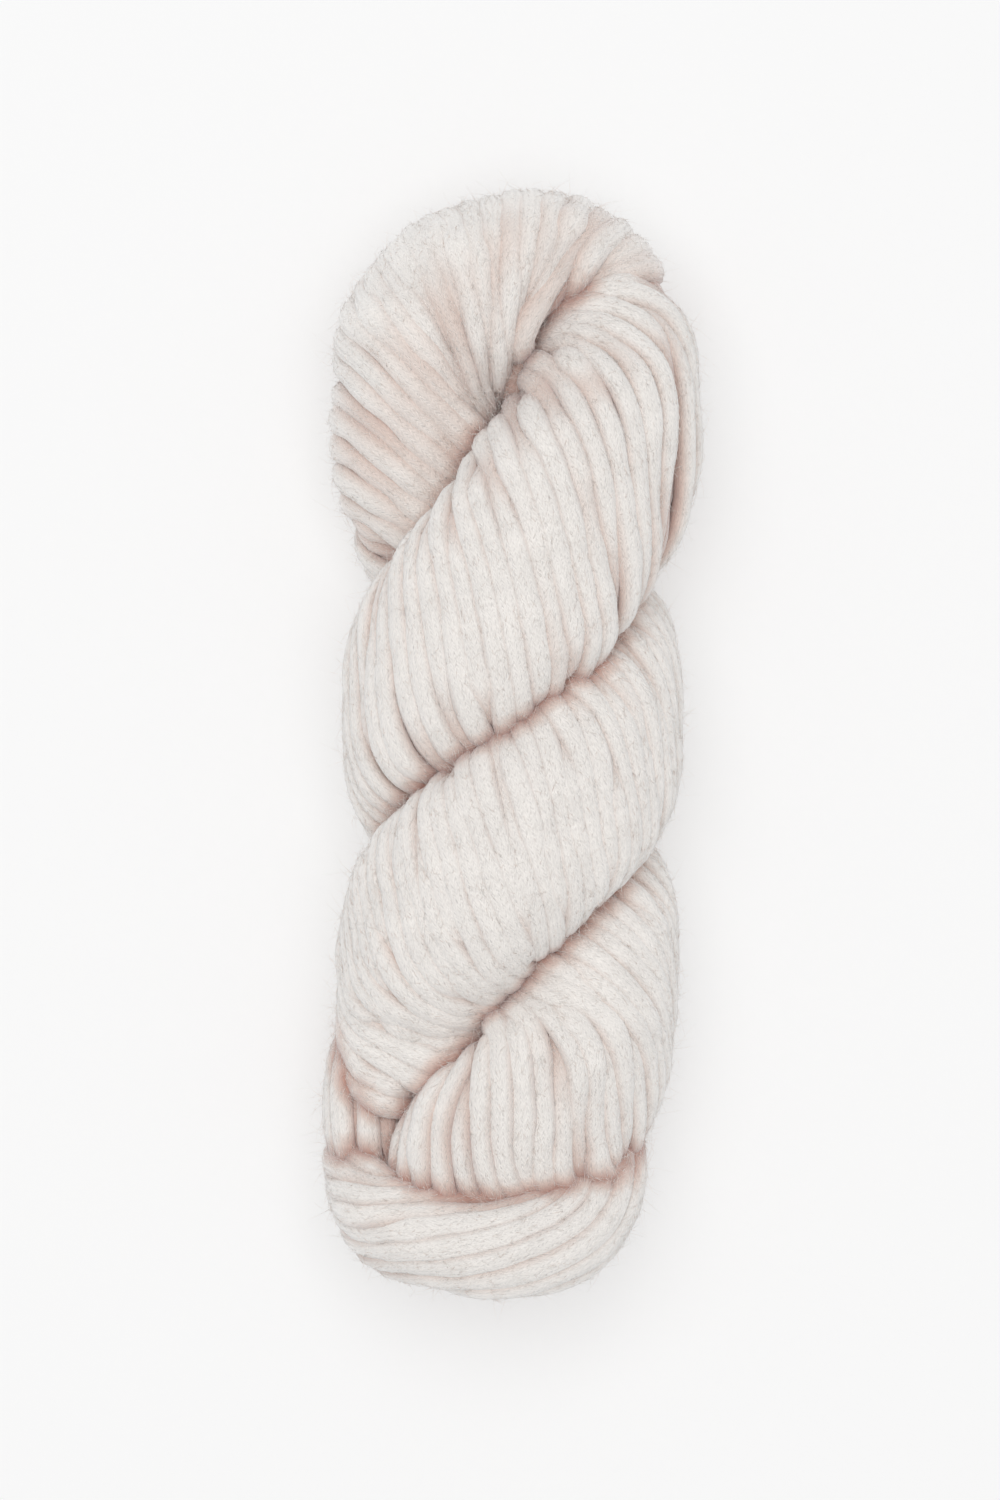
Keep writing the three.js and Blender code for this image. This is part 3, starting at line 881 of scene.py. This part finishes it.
ropeLines = wornStrands(rope, ropeStrands, rng, True)
fanLines = wornStrands(rope, fanStrands, np.random.default_rng(seed + 2), False)
eyeLines = wornStrands(eye, eyeStrands, rng, False)
addRings(ropeLines + fanLines + eyeLines)
paintCreaseShade([ropeLines + fanLines, eyeLines])
woolYarn = woolMaterial()
half = len(ropeLines) // 2
pieces = {
    "strands_a": ropeLines[:half], "strands_b": ropeLines[half:],
    "strands_fold": fanLines, "strands_eye": eyeLines,
    "yarn_core": [innerBody(rope, inside["rope"], inside["ropeEvery"]),
                  roundedBody(foldFilling), roundedBody(noseFilling)],
    "eye_core": [innerBody(eye, inside["eye"], inside["eyeEvery"])],
}
for name, tubes in pieces.items():
    wear(tubesMesh(name, tubes), woolYarn)
print("strands made")


# The nap: short fluff that lies on the strands, and longer loose fibres that soften every edge.
fluff = {
    "pieces": ("fluff_a", "fluff_b"),
    "fibres": 30000,      # in each piece
    "length": (1.5, 3.2),  # mm
    "thick": 0.16,        # mm; a real fibre is 0.03, drawn coarser to show
    "lift": (0.02, 0.30),  # how steeply they rise
    "slant": 0.42,        # radians off the strand's own direction, to both sides, as the stitches' legs lie
    "lean": 0.25,         # how much that changes from fibre to fibre
    "curl": 0.3,          # mm
    "creases": 0.0,
    "rings": (0.0, 1.0),  # where along a fibre its rings and its tip are
}
loose = {
    "pieces": ("loose_a", "loose_b", "loose_c"),
    "fibres": 9400,
    "length": (3.0, 7.0),
    "thick": 0.09,
    "lift": (0.10, 0.75),
    "slant": 0.3,
    "lean": 0.8,
    "curl": 1.6,
    "creases": 12.0,      # how much denser they are in the creases, where nothing rubs them off
    "rings": (0.0, 0.5, 1.0),
}
shownDepth = 5.5          # mm; strands further below the bundle's skin grow no nap
fibreLowest = 0.2         # mm above the floor


def napMesh(name, nap, lines, rng):
    # closed three-sided spikes, rooted just inside the strands' upper skin
    points = np.concatenate([l["points"] for l in lines])
    along = np.concatenate([unit(np.gradient(l["points"], axis=0)) for l in lines])
    up = np.concatenate([l["outward"] for l in lines])
    fat = np.concatenate([l["fat"] for l in lines])
    shown = np.concatenate([l["under"] for l in lines]) < shownDepth
    shade = np.concatenate([l["paintedShade"].mean(1) for l in lines])
    weight = shown * (1 + nap["creases"] * shade)
    pick = rng.choice(len(points), nap["fibres"], p=weight / weight.sum())
    points, along, up, fat = points[pick], along[pick], unit(up[pick]), fat[pick]
    up = unit(up - (up * along).sum(1, keepdims=True) * along)
    side = np.cross(along, up)
    n = len(pick)
    angle = rng.uniform(-1.5, 1.5, n)[:, None]
    normal = up * np.cos(angle) + side * np.sin(angle)
    skin = up * np.cos(angle) * strand["halfHigh"] + side * np.sin(angle) * strand["halfWide"]
    root = points + skin * fat[:, None] * 0.96 + along * rng.uniform(-1, 1, n)[:, None]
    slant = rng.choice([-1, 1], n) * nap["slant"] + rng.normal(0, nap["lean"], n)
    heading = unit(along * rng.choice([-1, 1], n)[:, None]
                   + np.cross(normal, along) * np.tan(slant.clip(-1.3, 1.3))[:, None])
    length = rng.uniform(*nap["length"], n)[:, None]
    lift = rng.uniform(*nap["lift"], n)[:, None]
    curl = rng.normal(0, 1, (n, 3)) * nap["curl"]
    rise = normal * lift * length
    rows = np.array([root + heading * length * t + rise * t * (1.15 - 0.45 * t) + curl * t * t
                     for t in nap["rings"]])
    rows[..., 2] = np.maximum(rows[..., 2], fibreLowest)
    across = unit(np.cross(normal, heading))
    rings = len(nap["rings"]) - 1
    verts = []
    for k in range(rings):
        thin = nap["thick"] / 2 * (1 - 0.3 * k)
        for j in range(3):
            a = j * fullTurn / 3
            verts.append(rows[k] + (across * math.cos(a) + normal * math.sin(a)) * thin)
    verts = np.stack(verts + [rows[-1]], 1)
    count = rings * 3 + 1
    body = [(k * 3 + j, k * 3 + (j + 1) % 3, k * 3 + 3 + (j + 1) % 3, k * 3 + 3 + j)
            for k in range(rings - 1) for j in range(3)]
    tips = [(count - 4 + j, count - 4 + (j + 1) % 3, count - 1) for j in range(3)] + [(2, 1, 0)]
    offsets = np.arange(n)[:, None, None] * count
    quads = (np.array(body, int).reshape(-1, 4)[None] + offsets).reshape(-1, 4)
    tris = (np.array(tips)[None] + offsets).reshape(-1, 3)
    return meshFrom(name, verts.reshape(-1, 3), [quads, tris])


# Loose wool fibre: undyed wool hair that brushing has pulled out. It is the yarn's own off-white, and
# silkier than it, because each hair is smooth.
fibre = {
    "dark": "#EEE1D9",
    "pale": "#FFFDFA",
    "cloud": 700.0,           # a metre: it changes every 1.4 mm, from fibre to fibre
    "roughness": 0.6,
    "ior": 1.5,
}


def napMaterial():
    material = bpy.data.materials.new("loose wool fibre")
    material.use_nodes = True
    tree = material.node_tree
    tree.nodes.clear()
    coords = addNode(tree, "ShaderNodeTexCoord")
    cloud = addNode(tree, "ShaderNodeTexNoise", {"Scale": fibre["cloud"], "Detail": 2.0},
                    {"Vector": coords.outputs["Object"]})
    share = addNode(tree, "ShaderNodeMapRange", {1: 0.38, 2: 0.60}, {0: cloud.outputs[0]})
    tone = addNode(tree, "ShaderNodeMix", {"data_type": "RGBA", 6: toLinear(fibre["dark"]),
                                           7: toLinear(fibre["pale"])}, {0: share.outputs[0]})
    shader = addNode(tree, "ShaderNodeBsdfPrincipled",
                     {"Roughness": fibre["roughness"], "IOR": fibre["ior"], "Specular IOR Level": 0.3},
                     {"Base Color": tone.outputs[2]})
    addNode(tree, "ShaderNodeOutputMaterial", None, {"Surface": shader.outputs[0]})
    return material


napWool = napMaterial()
shownLines = ropeLines + fanLines + eyeLines
for nap in (fluff, loose):
    for name in nap["pieces"]:
        wear(napMesh(name, nap, shownLines, rng), napWool)
print("nap made")


# The floor: matt white seamless card. It glows a little, so that it comes out nearly white and the
# shadows on it stay faint.
card = {
    "size": 3.0,            # m
    "colour": "#CDCDCD",
    "glow": 0.35,
    "roughness": 0.9,       # uncoated card
    "grain": 400.0,         # a metre: paper fibres, drawn 2.5 mm across to show
    "grainHigh": 0.1,       # mm
}


def makeFloor():
    mesh = bpy.data.meshes.new("floor")
    s = card["size"] / 2
    mesh.from_pydata([(-s, -s, 0), (s, -s, 0), (s, s, 0), (-s, s, 0)], [], [(0, 1, 2, 3)])
    floor = bpy.data.objects.new("floor", mesh)
    bpy.context.scene.collection.objects.link(floor)
    material = bpy.data.materials.new("matt white card")
    material.use_nodes = True
    tree = material.node_tree
    tree.nodes.clear()
    coords = addNode(tree, "ShaderNodeTexCoord")
    grain = addNode(tree, "ShaderNodeTexNoise", {"Scale": card["grain"], "Detail": 2.0},
                    {"Vector": coords.outputs["Object"]})
    bump = addNode(tree, "ShaderNodeBump", {"Strength": 0.05, "Distance": card["grainHigh"] * mm},
                   {"Height": grain.outputs[0]})
    shader = addNode(tree, "ShaderNodeBsdfPrincipled",
                     {"Base Color": toLinear(card["colour"]), "Roughness": card["roughness"],
                      "Specular IOR Level": 0.1, "Emission Color": (1, 1, 1, 1),
                      "Emission Strength": card["glow"]},
                     {"Normal": bump.outputs[0]})
    addNode(tree, "ShaderNodeOutputMaterial", None, {"Surface": shader.outputs[0]})
    mesh.materials.append(material)


makeFloor()


# Soft even light: a bright sky all round and one large panel overhead.
light = {
    "sky": 0.62,
    "panel": 16.7,          # W
    "panelSize": 1.6,       # m
    "panelAt": (-0.1, 0.2, 1.95),
}


def makeLight():
    world = bpy.data.worlds.new("sky")
    world.use_nodes = True
    background = world.node_tree.nodes["Background"]
    background.inputs["Color"].default_value = (1, 1, 1, 1)
    background.inputs["Strength"].default_value = light["sky"]
    bpy.context.scene.world = world
    data = bpy.data.lights.new("panel", "AREA")
    data.energy = light["panel"]
    data.size = light["panelSize"]
    panel = bpy.data.objects.new("panel", data)
    panel.location = light["panelAt"]
    aim = -panel.location.normalized()
    panel.rotation_euler = aim.to_track_quat("-Z", "Y").to_euler()
    bpy.context.scene.collection.objects.link(panel)


makeLight()
bpy.context.scene.view_settings.view_transform = "Standard"
print("floor and light set")
